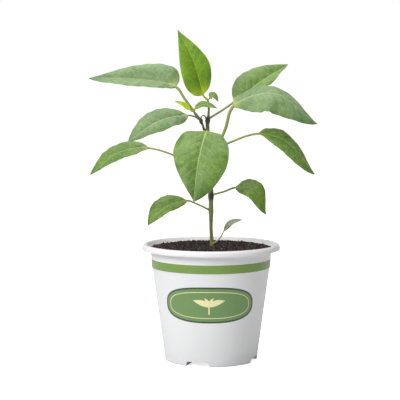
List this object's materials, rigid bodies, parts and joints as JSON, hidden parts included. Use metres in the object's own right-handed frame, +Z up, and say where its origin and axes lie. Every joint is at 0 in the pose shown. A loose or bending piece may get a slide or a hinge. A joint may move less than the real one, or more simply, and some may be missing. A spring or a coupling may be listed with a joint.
{
  "type": "potted sweet pepper plant",
  "caption": "Young sweet pepper plant with broad pointed leaves on a single stem, growing in a round tapered plastic pot with a rolled lip and a band below it.",
  "frame": {"origin": "centre of the pot's flat base, on the ground", "axes": "+Z up along the pot's axis and the stem; -Y towards the front of the pot, where the printed panel is"},
  "size_m": [0.1982, 0.12, 0.2871],
  "materials": {
    "pot_plastic": "smooth moulded off-white plastic, slightly glossy, with a green printed band and panel",
    "potting_mix": "dark brown crumbly potting mix with bits of bark and white grit",
    "stem": "green herbaceous stem with dark purple nodes",
    "bud": "dark green flower bud",
    "leaf": "smooth green leaf with a soft sheen and pale veins",
    "young_leaf": "bright yellow-green young leaf",
    "seed_leaf": "pale dull green seed leaf"
  },
  "bodies": {
    "root": {"pot": "pot_plastic", "potting_mix": "potting_mix", "main_stem": "stem", "side_shoot": "stem", "flower_bud": "bud", "top_leaf": "leaf", "upper_left_leaf": "leaf", "bright_leaflet": "young_leaf", "curved_leaflet": "leaf", "tip_leaflet": "leaf", "upper_right_leaf": "leaf", "mid_left_leaf": "leaf", "right_leaf": "leaf", "mid_right_leaf": "leaf", "front_leaf": "leaf", "lower_left_leaf": "leaf", "low_left_leaf": "leaf", "low_right_leaf": "leaf", "seed_leaf": "seed_leaf"}
  },
  "joints": []
}
